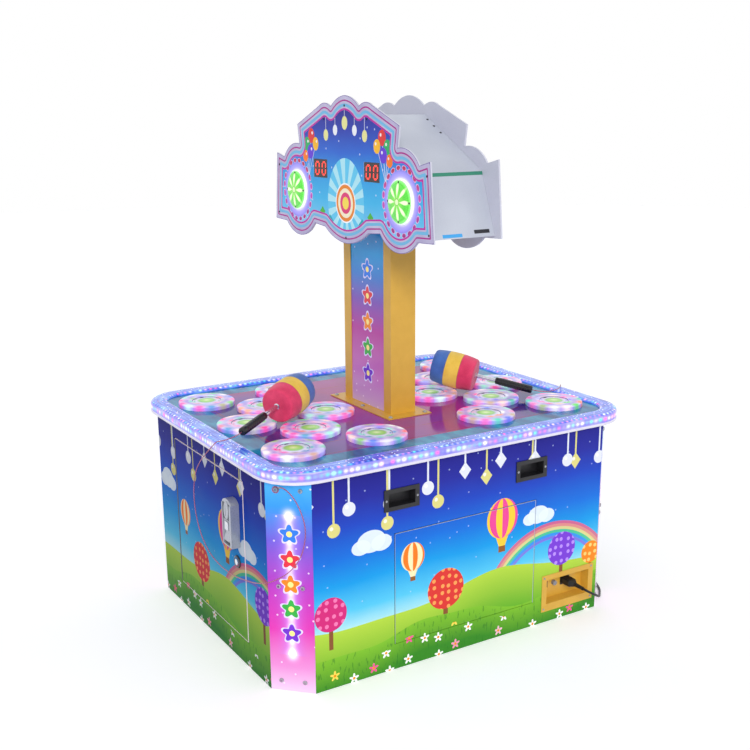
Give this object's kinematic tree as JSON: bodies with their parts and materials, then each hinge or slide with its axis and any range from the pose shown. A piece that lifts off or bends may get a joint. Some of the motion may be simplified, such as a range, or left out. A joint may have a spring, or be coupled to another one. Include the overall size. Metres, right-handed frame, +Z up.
{
  "type": "mole pounding arcade machine",
  "caption": "Two-player whack-a-mole machine: lit round targets in a chamfered cabinet, a post with a score header between the ends, tethered mallets and a coin door",
  "frame": {"origin": "on the floor under the middle of the cabinet", "axes": "+Z up, +X the long side with the mains inlet, -Y the end with the coin door"},
  "size_m": [0.9833, 1.2789, 1.4566],
  "materials": {
    "printed_board": "printed film over board, satin",
    "frame_wood": "bare board, matt",
    "light_acrylic": "translucent printed acrylic, gloss",
    "table_board": "white lacquer, satin",
    "rim_acrylic": "translucent acrylic, gloss, lit from inside",
    "playfield": "printed film under clear gloss",
    "target": "milky acrylic, gloss, lit from inside",
    "circuit_board": "matt",
    "yellow_steel": "powder coat, satin",
    "header_print": "printed acrylic, gloss",
    "cover_steel": "powder coat, satin",
    "display": "dark red filter, gloss",
    "lamp": "translucent, gloss, lit from inside",
    "chrome": "bright chrome plate",
    "black_plastic": "moulded, fine texture",
    "red_plastic": "gloss",
    "black_rubber": "matt",
    "foam": "dense foam in three coloured bands, matt",
    "mallet_handle": "black rubber grip on a bright steel rod",
    "coated_cable": "clear sleeve over steel cable"
  },
  "bodies": {
    "root": {"front_panel": "printed_board", "rear_panel": "printed_board", "right_panel": "printed_board", "left_panel": "printed_board", "access_panel": "printed_board", "cabinet_frame": "frame_wood", "light_panel_1": "light_acrylic", "light_panel_2": "light_acrylic", "light_panel_3": "light_acrylic", "light_panel_4": "light_acrylic", "column_light_box": "light_acrylic", "table_board": "table_board", "rim_channel": "rim_acrylic", "playfield_board": "playfield", "target_board": "circuit_board", "column": "yellow_steel", "power_box": "yellow_steel", "header_board_front": "header_print", "header_board_rear": "header_print", "header_cover": "cover_steel", "score_display_front": "display", "score_display_rear": "display", "lamp_lens_1": "lamp", "lamp_lens_2": "lamp", "lamp_lens_3": "lamp", "lamp_lens_4": "lamp", "carry_handles_right": "black_plastic", "carry_handles_left": "black_plastic", "power_inlet": "black_plastic", "cord_connector": "black_rubber", "power_cord": "black_rubber", "power_cord_coil": "black_rubber", "mains_plug": "black_rubber", "mallet_tether_front": "coated_cable", "mallet_tether_rear": "coated_cable"},
    "button_01": {"ring_button_01": "target"},
    "button_02": {"ring_button_02": "target"},
    "button_03": {"ring_button_03": "target"},
    "button_04": {"ring_button_04": "target"},
    "button_05": {"ring_button_05": "target"},
    "button_06": {"ring_button_06": "target"},
    "button_07": {"ring_button_07": "target"},
    "button_08": {"ring_button_08": "target"},
    "button_09": {"ring_button_09": "target"},
    "button_10": {"ring_button_10": "target"},
    "button_11": {"ring_button_11": "target"},
    "button_12": {"ring_button_12": "target"},
    "button_13": {"ring_button_13": "target"},
    "button_14": {"ring_button_14": "target"},
    "button_15": {"ring_button_15": "target"},
    "button_16": {"ring_button_16": "target"},
    "coin_door": {"coin_door": "printed_board", "coin_mech": "chrome"},
    "reject_button": {"reject_button": "chrome"},
    "door_lock": {"door_lock": "chrome"},
    "power_switch": {"power_switch": "red_plastic"},
    "mallet_front": {"mallet_head_front": "foam", "mallet_handle_front": "mallet_handle"},
    "mallet_rear": {"mallet_head_rear": "foam", "mallet_handle_rear": "mallet_handle"}
  },
  "joints": [
    {"name": "button_01_press", "type": "slide", "parent": "root", "child": "button_01", "axis": [0, 0, -1], "range_m": [0, 0.004], "stiffness_N_per_m": 2000, "springref_m": -0.006},
    {"name": "button_02_press", "type": "slide", "parent": "root", "child": "button_02", "axis": [0, 0, -1], "range_m": [0, 0.004], "stiffness_N_per_m": 2000, "springref_m": -0.006},
    {"name": "button_03_press", "type": "slide", "parent": "root", "child": "button_03", "axis": [0, 0, -1], "range_m": [0, 0.004], "stiffness_N_per_m": 2000, "springref_m": -0.006},
    {"name": "button_04_press", "type": "slide", "parent": "root", "child": "button_04", "axis": [0, 0, -1], "range_m": [0, 0.004], "stiffness_N_per_m": 2000, "springref_m": -0.006},
    {"name": "button_05_press", "type": "slide", "parent": "root", "child": "button_05", "axis": [0, 0, -1], "range_m": [0, 0.004], "stiffness_N_per_m": 2000, "springref_m": -0.006},
    {"name": "button_06_press", "type": "slide", "parent": "root", "child": "button_06", "axis": [0, 0, -1], "range_m": [0, 0.004], "stiffness_N_per_m": 2000, "springref_m": -0.006},
    {"name": "button_07_press", "type": "slide", "parent": "root", "child": "button_07", "axis": [0, 0, -1], "range_m": [0, 0.004], "stiffness_N_per_m": 2000, "springref_m": -0.006},
    {"name": "button_08_press", "type": "slide", "parent": "root", "child": "button_08", "axis": [0, 0, -1], "range_m": [0, 0.004], "stiffness_N_per_m": 2000, "springref_m": -0.006},
    {"name": "button_09_press", "type": "slide", "parent": "root", "child": "button_09", "axis": [0, 0, -1], "range_m": [0, 0.004], "stiffness_N_per_m": 2000, "springref_m": -0.006},
    {"name": "button_10_press", "type": "slide", "parent": "root", "child": "button_10", "axis": [0, 0, -1], "range_m": [0, 0.004], "stiffness_N_per_m": 2000, "springref_m": -0.006},
    {"name": "button_11_press", "type": "slide", "parent": "root", "child": "button_11", "axis": [0, 0, -1], "range_m": [0, 0.004], "stiffness_N_per_m": 2000, "springref_m": -0.006},
    {"name": "button_12_press", "type": "slide", "parent": "root", "child": "button_12", "axis": [0, 0, -1], "range_m": [0, 0.004], "stiffness_N_per_m": 2000, "springref_m": -0.006},
    {"name": "button_13_press", "type": "slide", "parent": "root", "child": "button_13", "axis": [0, 0, -1], "range_m": [0, 0.004], "stiffness_N_per_m": 2000, "springref_m": -0.006},
    {"name": "button_14_press", "type": "slide", "parent": "root", "child": "button_14", "axis": [0, 0, -1], "range_m": [0, 0.004], "stiffness_N_per_m": 2000, "springref_m": -0.006},
    {"name": "button_15_press", "type": "slide", "parent": "root", "child": "button_15", "axis": [0, 0, -1], "range_m": [0, 0.004], "stiffness_N_per_m": 2000, "springref_m": -0.006},
    {"name": "button_16_press", "type": "slide", "parent": "root", "child": "button_16", "axis": [0, 0, -1], "range_m": [0, 0.004], "stiffness_N_per_m": 2000, "springref_m": -0.006},
    {"name": "coin_door_hinge", "type": "hinge", "parent": "root", "child": "coin_door", "pos_m": [-0.231, -0.5488, 0.2935], "axis": [0, 0, -1], "range_deg": [0, 90], "deforming": ["mallet_tether_front"]},
    {"name": "reject_button_press", "type": "slide", "parent": "coin_door", "child": "reject_button", "axis": [0, 1, 0], "range_m": [0, 0.004], "stiffness_N_per_m": 300, "springref_m": -0.004},
    {"name": "door_lock_turn", "type": "hinge", "parent": "coin_door", "child": "door_lock", "pos_m": [0.184, -0.55, 0.284], "axis": [0, -1, 0], "range_deg": [0, 90]},
    {"name": "power_switch_rock", "type": "hinge", "parent": "root", "child": "power_switch", "pos_m": [0.4206, 0.2925, 0.1085], "axis": [0, -1, 0], "range_deg": [0, 16]},
    {"name": "mallet_front_lift", "type": "slide", "parent": "root", "child": "mallet_front", "axis": [0, 0, 1], "range_m": [0, 0.25], "deforming": ["mallet_tether_front"]},
    {"name": "mallet_rear_lift", "type": "slide", "parent": "root", "child": "mallet_rear", "axis": [0, 0, 1], "range_m": [0, 0.25], "deforming": ["mallet_tether_rear"]}
  ]
}
